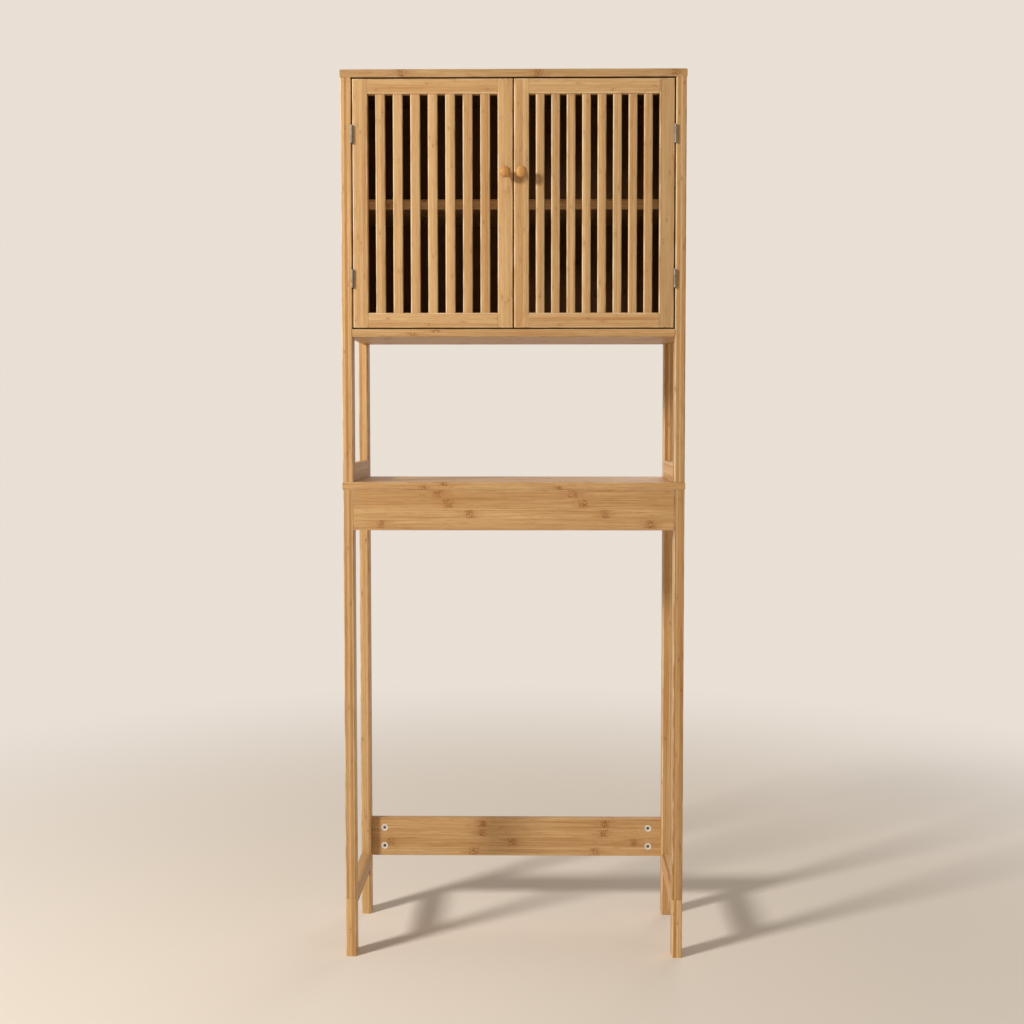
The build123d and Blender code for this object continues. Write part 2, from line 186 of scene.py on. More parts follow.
def makeGrainGroup():
    # Glued strips, fibres, dark streaks and flecks, and the mottled nodes of the cane
    t = bpy.data.node_groups.new("bambooGrain", "ShaderNodeTree")
    given, out = addSockets(t, [
        ("Grain", "Vector", None),
        ("Seed", "Float", 0.0),
        ("Strip Width", "Float", 0.005),
        ("Strip Contrast", "Float", 0.5),
        ("Glue Lines", "Float", 0.2),
        ("Fibre Contrast", "Float", 0.5),
        ("Streaks", "Float", 0.5),
        ("Flecks", "Float", 0.3),
        ("Node Gap", "Float", 0.3),
        ("Node Length", "Float", 0.02),
        ("Node Strength", "Float", 0.5),
        ("Pale", "Color", None),
        ("Deep", "Color", None),
        ("Streak Colour", "Color", None),
        ("Node Colour", "Color", None),
    ], [("Colour", "Color"), ("Height", "Float"), ("Gloss Loss", "Float")])
    build, share = caneBuild, caneShares
    seed, nodeGap, nodeLength = given["Seed"], given["Node Gap"], given["Node Length"]
    split = t.nodes.new("ShaderNodeSeparateXYZ")
    t.links.new(given["Grain"], split.inputs[0])
    along, across, deep = split.outputs
    shifted = t.nodes.new("ShaderNodeVectorMath")
    shifted.operation = "ADD"
    t.links.new(given["Grain"], shifted.inputs[0])
    t.links.new(joinVector(t, seed, times(t, seed, build["seedAcross"]), seed), shifted.inputs[1])
    place = shifted.outputs[0]

    def pattern(name):
        timesAlong, timesAcross, detail, rough = caneClouds[name]
        return cloud(t, stretched(t, place, timesAlong, timesAcross), detail, rough)

    def shows(field, name):
        return stepUp(t, field, *caneLimits[name])

    # Strips: each has its own tone and its own run of nodes
    bend = times(t, less(t, pattern("bend"), 0.5), build["stripBend"])
    inStrips = calc(t, "DIVIDE", plus(t, across, bend), given["Strip Width"])
    strip = calc(t, "FLOOR", inStrips)
    within = less(t, inStrips, strip)
    layer = calc(t, "FLOOR", calc(t, "DIVIDE", deep, build["layerDepth"]))
    stripTone, nodeShift, stripWarmth = dice(t, joinVector(t, strip, seed, layer))
    driftAlong = times(t, along, build["driftAlong"])
    drift = cloud(t, joinVector(t, driftAlong, times(t, strip, build["driftByStrip"]), seed), 1.0)
    fine = pattern("fine")
    medium = pattern("medium")
    broad = pattern("broad")
    streak = times(t, shows(pattern("streak"), "streak"), shows(broad, "streakArea"))
    fleck = times(t, shows(pattern("fleck"), "fleck"), given["Flecks"])

    # Nodes: a mottled patch across one strip, at its own place along each strip
    shift = times(t, nodeShift, build["nodeSpread"])
    inNodes = plus(t, calc(t, "DIVIDE", along, nodeGap), shift)
    nodeCount = calc(t, "FLOOR", inNodes)
    fromNode = calc(t, "ABSOLUTE", less(t, less(t, inNodes, nodeCount), 0.5))
    frayed = times(t, pattern("fray"), nodeLength)
    reach = plus(t, times(t, fromNode, nodeGap), frayed)
    reach = calc(t, "DIVIDE", less(t, reach, times(t, nodeLength, 0.5)), nodeLength)
    nodeChance = dice(t, joinVector(t, nodeCount, strip, seed))[0]
    shown = calc(t, "LESS_THAN", nodeChance, build["nodesShown"])
    centred = less(t, 1.0, calc(t, "ABSOLUTE", less(t, times(t, within, 2.0), 1.0)))
    onStrip = times(t, shown, shows(centred, "stripMiddle"))
    nodeZone = times(t, less(t, 1.0, shows(reach, "node")), onStrip)
    comb = pattern("comb")
    nodeMark = times(t, nodeZone, shows(comb, "nodeMark"))
    nodeSpark = times(t, nodeZone, less(t, 1.0, shows(comb, "nodeSpark")))
    trail = times(t, less(t, 1.0, shows(reach, "trail")), onStrip)
    trail = times(t, trail, shows(medium, "trailFibres"))
    haze = calc(t, "MAXIMUM", times(t, nodeZone, share["hazeInNode"]), trail)
    haze = times(t, times(t, haze, share["haze"]), given["Node Strength"])

    # Glue lines between the strips
    fromLine = calc(t, "MINIMUM", within, less(t, 1.0, within))
    fromLine = times(t, fromLine, given["Strip Width"])
    glueLine = times(t, less(t, 1.0, shows(fromLine, "glueLine")), given["Glue Lines"])

    # From deep to pale by the tone, then each mark laid over in its own colour
    tone = calc(t, "MULTIPLY_ADD", less(t, stripTone, 0.5), given["Strip Contrast"], share["middleTone"])
    tone = calc(t, "MULTIPLY_ADD", less(t, drift, 0.5), share["driftTone"], tone)
    tone = calc(t, "MULTIPLY_ADD", less(t, broad, 0.5), share["broadTone"], tone)
    fibres = plus(t, times(t, fine, share["fineTone"]), times(t, medium, share["mediumTone"]))
    tone = calc(t, "MULTIPLY_ADD", less(t, fibres, 1.0), given["Fibre Contrast"], tone)
    tone = calc(t, "MINIMUM", calc(t, "MAXIMUM", tone, 0.0), 1.0)
    colour = mixColour(t, tone, given["Deep"], given["Pale"])
    for amount, over in (
        (times(t, stripWarmth, share["stripWarmth"]), "Streak Colour"),
        (times(t, streak, given["Streaks"]), "Streak Colour"),
        (fleck, "Streak Colour"),
        (haze, "Streak Colour"),
        (times(t, nodeMark, given["Node Strength"]), "Node Colour"),
        (times(t, nodeSpark, share["spark"]), "Pale"),
        (glueLine, "Streak Colour"),
    ):
        colour = mixColour(t, amount, colour, given[over])
    t.links.new(colour, out["Colour"])

    height = plus(t, times(t, fine, share["fineHeight"]), times(t, medium, share["mediumHeight"]))
    height = less(t, height, times(t, nodeMark, share["nodeHeight"]))
    t.links.new(less(t, height, times(t, glueLine, share["glueHeight"])), out["Height"])
    dull = plus(t, times(t, fine, share["fineDull"]), times(t, nodeMark, share["nodeDull"]))
    t.links.new(plus(t, dull, times(t, streak, share["streakDull"])), out["Gloss Loss"])
    return t


# Sanded edges with a painted highlight, and seams, shared by every wooden finish

edgeWearAndHighlight = {"along": 24.0, "across": 160.0, "limits": (0.32, 0.66), "brightnessPerTone": 0.16}


def makeEdgeGroup():
    # Sanded edges show paler, in broken lengths, partly as wear and partly as a painted highlight, and a seam
    # collects dark
    t = bpy.data.node_groups.new("easedEdges", "ShaderNodeTree")
    given, out = addSockets(t, [
        ("Colour", "Color", None),
        ("Grain", "Vector", None),
        ("Edge", "Float", 0.0),
        ("Seam", "Float", 0.0),
        ("Tone", "Float", 0.0),
        ("Wear", "Float", 0.3),
        ("Wear Colour", "Color", None),
        ("Seam Colour", "Color", None),
    ], [("Colour", "Color"), ("Rubbed", "Float")])
    lengths = cloud(t, stretched(t, given["Grain"], edgeWearAndHighlight["along"], edgeWearAndHighlight["across"]))
    patchy = stepUp(t, lengths, *edgeWearAndHighlight["limits"])
    # This mask is partly sanding wear and partly a painted highlight on every eased edge
    rubbedAndHighlit = times(t, times(t, given["Edge"], given["Wear"]), patchy)
    # The tone lightens or darkens the wood, and carries the painted shade of undersides and of the darker
    # right-hand sticks
    toned = t.nodes.new("ShaderNodeHueSaturation")
    brightness = calc(t, "MULTIPLY_ADD", given["Tone"], edgeWearAndHighlight["brightnessPerTone"], 1.0)
    t.links.new(brightness, toned.inputs["Value"])
    t.links.new(given["Colour"], toned.inputs["Color"])
    colour = mixColour(t, rubbedAndHighlit, toned.outputs[0], given["Wear Colour"])
    colour = mixColour(t, given["Seam"], colour, given["Seam Colour"])
    t.links.new(colour, out["Colour"])
    t.links.new(rubbedAndHighlit, out["Rubbed"])
    return t


# Plated and cast metal, shared by the hinges, the screws and the cam fittings

metalPattern = {
    "drawLines": (2600.0, 2600.0, 240.0), "patches": (210.0, 210.0, 210.0),
    "patchLimits": (0.42, 0.7), "patchRoughness": 0.18, "lineRoughness": 0.12,
}


def makeMetalGroup():
    # Fine draw lines and dull patches on small fittings
    t = bpy.data.node_groups.new("platedMetal", "ShaderNodeTree")
    given, out = addSockets(t, [
        ("Clean", "Color", None),
        ("Tarnish", "Color", None),
        ("Tarnish Share", "Float", 0.4),
        ("Base Roughness", "Float", 0.3),
    ], [("Colour", "Color"), ("Roughness", "Float"), ("Height", "Float")])
    m = metalPattern
    where = t.nodes.new("ShaderNodeTexCoord").outputs["Object"]
    lines = cloud(t, scaledBy(t, where, m["drawLines"]), 2.0, 0.6)
    patch = stepUp(t, cloud(t, scaledBy(t, where, m["patches"]), 3.0, 0.6), *m["patchLimits"])
    tarnish = times(t, patch, given["Tarnish Share"])
    t.links.new(mixColour(t, tarnish, given["Clean"], given["Tarnish"]), out["Colour"])
    rough = plus(t, given["Base Roughness"], times(t, patch, m["patchRoughness"]))
    t.links.new(plus(t, rough, times(t, lines, m["lineRoughness"])), out["Roughness"])
    t.links.new(lines, out["Height"])
    return t


grainGroup = makeGrainGroup()
edgeGroup = makeEdgeGroup()
metalGroup = makeMetalGroup()
print("Shared effects built")


# Finishes

def newMaterial(name):
    material = bpy.data.materials.new(name)
    material.use_nodes = True
    tree = material.node_tree
    tree.nodes.clear()
    shader = tree.nodes.new("ShaderNodeBsdfPrincipled")
    output = tree.nodes.new("ShaderNodeOutputMaterial")
    tree.links.new(shader.outputs[0], output.inputs["Surface"])
    return material, tree, shader


def placeGroup(tree, group, values):
    node = tree.nodes.new("ShaderNodeGroup")
    node.node_tree = group
    for name, value in values.items():
        feed(tree, node.inputs[name], value)
    return node.outputs


def groupValues(look):
    # A look's capitalised entries are the group's own inputs
    return {key: value for key, value in look.items() if key[0].isupper()}


def readAttribute(tree, name, output="Fac"):
    node = tree.nodes.new("ShaderNodeAttribute")
    node.attribute_name = name
    return node.outputs[output]


def bumpFrom(tree, shader, height, distance, strength):
    bump = tree.nodes.new("ShaderNodeBump")
    bump.inputs["Distance"].default_value = distance
    bump.inputs["Strength"].default_value = strength
    tree.links.new(height, bump.inputs["Height"])
    tree.links.new(bump.outputs[0], shader.inputs["Normal"])


bambooLooks = {
    "barBamboo": {  # posts, legs and side rails: narrow strips seen edge on
        "Strip Width": 0.0046, "Strip Contrast": 0.95, "Glue Lines": 0.34,
        "Fibre Contrast": 0.85, "Streaks": 0.42, "Flecks": 0.30,
        "Node Gap": 0.31, "Node Length": 0.011, "Node Strength": 0.50,
        "Pale": (0.700, 0.462, 0.222, 1), "Deep": (0.425, 0.208, 0.068, 1),
        "Streak Colour": (0.330, 0.130, 0.034, 1), "Node Colour": (0.240, 0.088, 0.025, 1),
        "roughness": 0.42, "wear": 0.60,
    },
    "doorBamboo": {  # stiles, rails and slats: a little paler, with soft fine grain
        "Strip Width": 0.0060, "Strip Contrast": 0.48, "Glue Lines": 0.16,
        "Fibre Contrast": 0.95, "Streaks": 0.30, "Flecks": 0.34,
        "Node Gap": 0.21, "Node Length": 0.013, "Node Strength": 0.42,
        "Pale": (0.690, 0.462, 0.228, 1), "Deep": (0.450, 0.238, 0.088, 1),
        "Streak Colour": (0.370, 0.160, 0.050, 1), "Node Colour": (0.270, 0.110, 0.036, 1),
        "roughness": 0.44, "wear": 0.72,
    },
    "boardBamboo": {  # apron, low rail and boards: broad strips with mottled nodes
        "Strip Width": 0.0200, "Strip Contrast": 0.22, "Glue Lines": 0.05,
        "Fibre Contrast": 1.30, "Streaks": 0.75, "Flecks": 0.40,
        "Node Gap": 0.26, "Node Length": 0.025, "Node Strength": 0.80,
        "Pale": (0.660, 0.432, 0.205, 1), "Deep": (0.410, 0.208, 0.072, 1),
        "Streak Colour": (0.360, 0.150, 0.042, 1), "Node Colour": (0.268, 0.090, 0.021, 1),
        "roughness": 0.42, "wear": 0.45,
    },
    "knobBamboo": {  # turned from one laminated block
        "Strip Width": 0.0040, "Strip Contrast": 0.45, "Glue Lines": 0.20,
        "Fibre Contrast": 0.60, "Streaks": 0.35, "Flecks": 0.15,
        "Node Gap": 0.30, "Node Length": 0.008, "Node Strength": 0.30,
        "Pale": (0.640, 0.340, 0.115, 1), "Deep": (0.440, 0.190, 0.050, 1),
        "Streak Colour": (0.360, 0.140, 0.036, 1), "Node Colour": (0.260, 0.095, 0.028, 1),
        "roughness": 0.30, "wear": 0.10,
    },
    "backBamboo": {  # the thin panel that closes the cupboard, coloured dark as painted shade of the closed cupboard
        "Strip Width": 0.0200, "Strip Contrast": 0.40, "Glue Lines": 0.15,
        "Fibre Contrast": 0.80, "Streaks": 0.50, "Flecks": 0.20,
        "Node Gap": 0.26, "Node Length": 0.022, "Node Strength": 0.50,
        "Pale": (0.200, 0.092, 0.032, 1), "Deep": (0.105, 0.040, 0.012, 1),
        "Streak Colour": (0.075, 0.026, 0.008, 1), "Node Colour": (0.050, 0.016, 0.005, 1),
        "roughness": 0.55, "wear": 0.10,
    },
}
bambooSurface = {
    # The edge colour paints eased edges paler, partly as wear and partly as a painted highlight
    "wearColour": (0.830, 0.640, 0.400, 1), "seamColour": (0.130, 0.050, 0.016, 1),
    "specular": 0.20, "rubbedRoughness": 0.1, "bumpDistance": 0.0002, "bumpStrength": 0.35,
}


def makeBamboo(name):
    look, surface = bambooLooks[name], bambooSurface
    material, tree, shader = newMaterial(name)
    grain = readAttribute(tree, "grain", "Vector")
    cane = {"Grain": grain, "Seed": readAttribute(tree, "seed")}
    wood = placeGroup(tree, grainGroup, {**groupValues(look), **cane})
    wornAndHighlit = placeGroup(tree, edgeGroup, {
        "Colour": wood["Colour"],
        "Grain": grain,
        "Edge": readAttribute(tree, "edge"),
        "Seam": readAttribute(tree, "seam"),
        "Tone": readAttribute(tree, "tone"),
        "Wear": look["wear"],
        "Wear Colour": surface["wearColour"] if name != "backBamboo" else look["Pale"],
        "Seam Colour": surface["seamColour"],
    })
    tree.links.new(wornAndHighlit["Colour"], shader.inputs["Base Color"])
    rough = plus(tree, wood["Gloss Loss"], look["roughness"])
    rough = plus(tree, rough, times(tree, wornAndHighlit["Rubbed"], surface["rubbedRoughness"]))
    tree.links.new(rough, shader.inputs["Roughness"])
    shader.inputs["Specular IOR Level"].default_value = surface["specular"]
    bumpFrom(tree, shader, wood["Height"], surface["bumpDistance"], surface["bumpStrength"])
    return material


metalLooks = {
    "hingeSteel": {
        "Clean": (0.300, 0.255, 0.210, 1), "Tarnish": (0.180, 0.138, 0.098, 1),
        "Tarnish Share": 0.50, "Base Roughness": 0.55, "metallic": 1.0,
    },
    "castZinc": {
        "Clean": (0.780, 0.740, 0.670, 1), "Tarnish": (0.520, 0.470, 0.400, 1),
        "Tarnish Share": 0.35, "Base Roughness": 0.42, "metallic": 0.35,
    },
    "brightScrew": {
        "Clean": (0.660, 0.650, 0.620, 1), "Tarnish": (0.360, 0.340, 0.310, 1),
        "Tarnish Share": 0.30, "Base Roughness": 0.24, "metallic": 1.0,
    },
}
metalBump = {"distance": 0.00004, "strength": 0.3}


def makeMetal(name):
    material, tree, shader = newMaterial(name)
    plated = placeGroup(tree, metalGroup, groupValues(metalLooks[name]))
    tree.links.new(plated["Colour"], shader.inputs["Base Color"])
    tree.links.new(plated["Roughness"], shader.inputs["Roughness"])
    shader.inputs["Metallic"].default_value = metalLooks[name]["metallic"]
    bumpFrom(tree, shader, plated["Height"], metalBump["distance"], metalBump["strength"])
    return material


plasticLook = {
    "colour": (0.120, 0.062, 0.030, 1), "flow": (0.165, 0.092, 0.048, 1),
    "flowScales": (60.0, 180.0, 180.0), "flowLimits": (0.35, 0.75), "sparkScale": 2400.0,
    "roughness": 0.42, "flowRoughness": 0.12, "bumpDistance": 0.00005, "bumpStrength": 0.4,
}


def makePlastic(name):
    # Moulded brown plastic, with faint flow marks and a fine spark texture
    p = plasticLook
    material, tree, shader = newMaterial(name)
    where = tree.nodes.new("ShaderNodeTexCoord").outputs["Object"]
    flow = stepUp(tree, cloud(tree, scaledBy(tree, where, p["flowScales"])), *p["flowLimits"])
    spark = cloud(tree, scaledBy(tree, where, (p["sparkScale"],) * 3))
    tree.links.new(mixColour(tree, flow, p["colour"], p["flow"]), shader.inputs["Base Color"])
    rough = calc(tree, "MULTIPLY_ADD", flow, p["flowRoughness"], p["roughness"])
    tree.links.new(rough, shader.inputs["Roughness"])
    bumpFrom(tree, shader, spark, p["bumpDistance"], p["bumpStrength"])
    return material


finishes = {name: makeBamboo(name) for name in bambooLooks}
finishes.update({name: makeMetal(name) for name in metalLooks})
finishes["catchPlastic"] = makePlastic("catchPlastic")
print("Finishes built:", len(finishes))


# Pieces dressed from their own solids

edgeWork = {
    "mergeWithin": 1e-6,  # metres
    "flatWithin": 0.5,  # degrees between faces that are joined into one
    "cornerFrom": 60,  # degrees from which an edge is eased
    "shortest": 3,  # corner radii that an edge needs to be eased
}
roundOver = {"wood": 50, "knob": 70, "fitting": 40, "cam": 38, "screw": 35}  # degrees shaded as round


def meshFromSolid(node):
    # The solid's own faces, merged and with flat ones joined, ready for edge work
    work = bmesh.new()
    work.from_mesh(frame["nodes"][node].data)
    bmesh.ops.remove_doubles(work, verts=work.verts, dist=edgeWork["mergeWithin"])
    flat = math.radians(edgeWork["flatWithin"])
    bmesh.ops.dissolve_limit(work, angle_limit=flat, verts=work.verts, edges=work.edges)
    return work


def softenCorners(work, radius):
    leastTurn = math.radians(edgeWork["cornerFrom"])
    corners = []
    for edge in work.edges:
        if len(edge.link_faces) == 2 and edge.is_convex and edge.calc_face_angle() > leastTurn:
            if edge.calc_length() > edgeWork["shortest"] * radius:
                corners.append(edge)
    bmesh.ops.bevel(
        work, geom=corners, offset=radius, segments=1, profile=0.5, affect="EDGES", clamp_overlap=False
    )


def finishPiece(name, work, body, material, nodes, kind="wood"):
    # Smooth shading, with normals led by the large faces, so that an eased edge reads as round
    for face in work.faces:
        face.smooth = True
    for edge in work.edges:
        turn = edge.calc_face_angle() if len(edge.link_faces) == 2 else math.pi
        edge.smooth = turn < math.radians(roundOver[kind])
    mesh = bpy.data.meshes.new(name)
    work.to_mesh(mesh)
    work.free()
    piece = bpy.data.objects.new(name, mesh)
    scene.collection.objects.link(piece)
    mesh.materials.append(finishes[material])
    weighted = piece.modifiers.new("evenNormals", "WEIGHTED_NORMAL")
    weighted.keep_sharp = True
    weighted.weight = 100
    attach(piece, body)
    if nodes:
        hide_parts(*nodes)
    return piece


faceMarks = {
    "undersideBelow": -0.9,  # a normal's height from which a face is an underside, darkened with painted shade where its piece has any
    "flatFrom": 0.97,  # a normal's largest part from which a face is flat, not eased
    "spliceSeed": 3.7,  # what a splice adds to the seed below it
    "lineReach": 1.5,  # half widths of a splice's line that its faces lie within
}


def writeGrain(piece, along, across, seed, tone, shade=0.0, foot=None):
    # The finishes read these: where a point lies in the cane, and what each face is
    mesh = piece.data
    deep = ({"x", "y", "z"} - {along, across}).pop()
    order = ["xyz".index(axis) for axis in (along, across, deep)]
    grain = mesh.attributes.new("grain", "FLOAT_VECTOR", "POINT")
    flat = []
    for vertex in mesh.vertices:
        flat += [vertex.co[i] for i in order]
    grain.data.foreach_set("vector", flat)
    marks = {
        name: mesh.attributes.new(name, "FLOAT", "FACE") for name in ("seed", "tone", "edge", "seam")
    }
    for face in mesh.polygons:
        below = foot is not None and face.center.z < foot["height"]
        faceToneAndShade = foot["lowerTone"] if below else tone
        # An underside takes the painted shade given for its piece
        if face.normal.z < faceMarks["undersideBelow"]:
            faceToneAndShade += shade
        eased = max(abs(part) for part in face.normal) < faceMarks["flatFrom"]
        marks["seed"].data[face.index].value = seed + (faceMarks["spliceSeed"] if below else 0.0)
        marks["tone"].data[face.index].value = faceToneAndShade
        marks["edge"].data[face.index].value = 1.0 if eased else 0.0
        if foot is not None:
            if abs(face.center.z - foot["height"]) < foot["lineHalf"] * faceMarks["lineReach"]:
                marks["seam"].data[face.index].value = foot["line"]
    return marks["seam"]


def bodyOf(node):
    for body, members in frame["record"]["behaviour"]["bodies"].items():
        if node in members:
            return body


def plainName(node):
    # left_front_leg becomes leftFrontLeg
    first, *rest = node.split("_")
    return first + "".join(word.capitalize() for word in rest)


# Nodes that end in these words: finish, slot, grain along, strips across, corner radius, tone
woodPieces = {
    "post": ("barBamboo", "bamboo_bars", "z", "x", 0.0005, 0.0),
    "leg": ("barBamboo", "bamboo_bars", "z", "x", 0.0005, -0.1),
    "shelf_rail": ("barBamboo", "bamboo_bars", "y", "z", 0.0005, -0.1),
    "stretcher": ("barBamboo", "bamboo_bars", "y", "z", 0.0005, 0.0),
    "apron": ("boardBamboo", "bamboo_bars", "y", "z", 0.0005, 0.0),
    "front_apron": ("boardBamboo", "bamboo_bars", "x", "z", 0.0005, 0.1),
    "back_apron": ("boardBamboo", "bamboo_bars", "x", "z", 0.0005, 0.0),
    "back_stretcher": ("boardBamboo", "bamboo_bars", "x", "z", 0.0005, -0.1),
    "top_panel": ("boardBamboo", "bamboo_boards", "x", "y", 0.0004, -0.9),
    "open_shelf": ("boardBamboo", "bamboo_boards", "x", "y", 0.0004, 0.1),
    "cabinet_bottom": ("boardBamboo", "bamboo_boards", "x", "y", 0.0004, 0.0),
    "inner_shelf": ("boardBamboo", "bamboo_boards", "x", "y", 0.0004, 0.3),
    "side_panel": ("boardBamboo", "bamboo_bars", "z", "y", 0.0003, -0.1),
    "back_panel": ("backBamboo", "back_board", "z", "x", 0.0002, 0.0),
    "stile": ("doorBamboo", "bamboo_bars", "z", "x", 0.0004, 0.0),
    "rail": ("doorBamboo", "bamboo_bars", "x", "z", 0.0004, 0.05),
    "slat": ("doorBamboo", "bamboo_bars", "z", "x", 0.0004, 0.0),
}
pieceTonesAndShade = {  # sticks lighter or darker than the rest of their kind; the darker right-hand sticks carry painted shade where the light falls off to the right
    "left_front_post": 0.25, "right_front_post": -0.70, "front_apron": -0.15,
    "right_door_hinge_stile": -0.75, "right_door_meeting_stile": -0.15,
    "right_door_slat": -0.45, "right_door_top_rail": -0.35,
}
woodChance = {"seed": 41, "grainFrom": 0.5, "grainTo": 9.5, "toneSpread": 0.22}
paintedUndersideShade = {"top_panel": -3.6, "inner_shelf": -3.6}  # painted shade, darkening what looks down into the cupboard
footSplice = {
    "height": 0.1155, "lineHalf": 0.0004, "line": 0.3, "upperTone": -0.35, "lowerTone": 0.30,
}
railSeam = {"width": 0.0006, "line": 0.45}


def woodKind(node):
    # The longest ending wins, so that front_apron isn't taken for a side apron
    stem = node.rsplit("_", 1)[0] if node[-1].isdigit() else node
    fits = [kind for kind in woodPieces if stem.endswith(kind)]
    return max(fits, key=len) if fits else None


def cutAcross(work, point, normal):
    geometry = work.verts[:] + work.edges[:] + work.faces[:]
    bmesh.ops.bisect_plane(work, geom=geometry, plane_co=point, plane_no=normal)


def spliceLegFoot(work):
    # The front legs have a length of other cane glued on near the floor
    for way in (-1, 1):
        cutAcross(work, (0, 0, footSplice["height"] + way * footSplice["lineHalf"]), (0, 0, 1))


def railEnds(node):
    # Where a door's rail comes out from between its stiles, less the width of the seam
    side = node.split("_")[0]
    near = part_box(side + "_door_meeting_stile")
    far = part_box(side + "_door_hinge_stile")
    first, second = (far, near) if side == "left" else (near, far)
    return first[1].x + railSeam["width"], second[0].x - railSeam["width"]


chance = random.Random(woodChance["seed"])
woodCount = 0
for node in sorted(frame["nodes"]):
    kind = woodKind(node)
    if kind is None:
        continue
    finish, slotName, along, across, radius, tone = woodPieces[kind]
    solid = meshFromSolid(node)
    softenCorners(solid, radius)
    spliced = node.endswith("front_leg")
    if spliced:
        spliceLegFoot(solid)
    if kind == "rail":
        low, high = railEnds(node)
        for x in (low, high):
            cutAcross(solid, (x, 0, 0), (1, 0, 0))
    piece = finishPiece(plainName(node), solid, bodyOf(node), finish, [node])
    seed = round(chance.uniform(woodChance["grainFrom"], woodChance["grainTo"]), 3)
    if spliced:
        writeGrain(piece, along, across, seed, footSplice["upperTone"], foot=footSplice)
    else:
        tone += chance.uniform(-woodChance["toneSpread"], woodChance["toneSpread"])
        # Some sticks take painted shade on top of their random tone
        tone += pieceTonesAndShade.get(node.rstrip("_0123456789"), 0.0)
        seams = writeGrain(piece, along, across, seed, tone, paintedUndersideShade.get(node, 0.0))
        if kind == "rail":
            for face in piece.data.polygons:
                if not low < face.center.x < high:
                    seams.data[face.index].value = railSeam["line"]
    woodCount += 1
print("Bamboo pieces dressed:", woodCount)


# Turned knobs

knobShape = {
    "footRadius": 0.0065, "footFlare": 0.0002, "footHeight": 0.0026,
    "waistRadius": 0.0048, "neckFlare": 0.0012, "waistSteps": 6,
    "headRadius": 0.01075, "headStart": 0.0092, "headFullness": 0.86, "headSteps": 14,
    "turns": 48, "seeds": {"left": 2.3, "right": 6.1}, "tone": 0.1,
}
onAxis = 1e-7  # a ring narrower than this is one point


def knobProfile(reach):
    # Foot, hollow waist and a full round head, from the door's face outwards
    k = knobShape
    foot, waist, neck = k["footRadius"], k["waistRadius"], k["waistRadius"] + k["neckFlare"]
    points = [(0.0, 0.0), (foot, 0.0), (foot + k["footFlare"], k["footHeight"] / 2)]
    for i in range(k["waistSteps"] + 1):  # the hollow runs from the foot to the underside of the head
        share = i / k["waistSteps"]
        sag = math.sin(math.pi * share)
        wide = foot * (1 - share) + neck * share
        height = k["footHeight"] + (k["headStart"] - k["footHeight"]) * share
        points.append((wide - (wide - waist) * sag, height))
    middle = (k["headStart"] + reach) / 2
    half = (reach - k["headStart"]) / 2
    for i in range(1, k["headSteps"] + 1):
        angle = math.pi * i / k["headSteps"]
        radius = k["headRadius"] * max(math.sin(angle), 0.0) ** k["headFullness"]
        points.append((radius, middle - half * math.cos(angle)))
    return points


def standingOn(place, direction):
    # A frame at the place, with its z along the direction
    stand = direction.to_track_quat("Z", "Y").to_matrix().to_4x4()
    stand.translation = place
    return stand


def ringOf(work, stand, radius, height, turns):
    if radius < onAxis:
        return [work.verts.new(stand @ Vector((0, 0, height)))]
    ring = []
    for i in range(turns):
        angle = 2 * math.pi * i / turns
        point = Vector((radius * math.cos(angle), radius * math.sin(angle), height))
        ring.append(work.verts.new(stand @ point))
    return ring


def turnOutline(work, points, turns, place, direction):
    # Spins (radius, height) points about an axis, and closes the ends on the axis itself
    stand = standingOn(place, direction)
    rings = [ringOf(work, stand, radius, height, turns) for radius, height in points]
    for low, high in zip(rings, rings[1:]):
        for i in range(turns):
            j = (i + 1) % turns
            if len(low) == 1:
                work.faces.new((low[0], high[j], high[i]))
            elif len(high) == 1:
                work.faces.new((low[i], low[j], high[0]))
            else:
                work.faces.new((low[i], low[j], high[j], high[i]))


for side in ("left", "right"):
    low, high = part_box(side + "_door_knob")
    work = bmesh.new()
    place = Vector(((low.x + high.x) / 2, high.y, (low.z + high.z) / 2))
    turnOutline(work, knobProfile(high.y - low.y), knobShape["turns"], place, Vector((0, -1, 0)))
    bmesh.ops.recalc_face_normals(work, faces=work.faces)
    node = side + "_door_knob"
    knob = finishPiece(side + "Knob", work, side + "_door", "knobBamboo", [node], "knob")
    writeGrain(knob, "z", "x", knobShape["seeds"][side], knobShape["tone"])
print("Knobs turned")


# Hinges, with their screws

hingeLook = {
    "corner": 0.00018, "leafHeight": 0.035, "screwLevel": 0.0105, "screwFromPin": 0.0100,
    "screwRadius": 0.0026, "screwProud": 0.0002, "faceFromPin": 0.00125,
}
crossLook = {  # shares of the head's radius, and how finely the head is divided
    "armReach": 0.62, "armHalf": 0.15, "depth": 0.28, "rimDepth": 0.3, "turns": 40, "rings": 8,
}


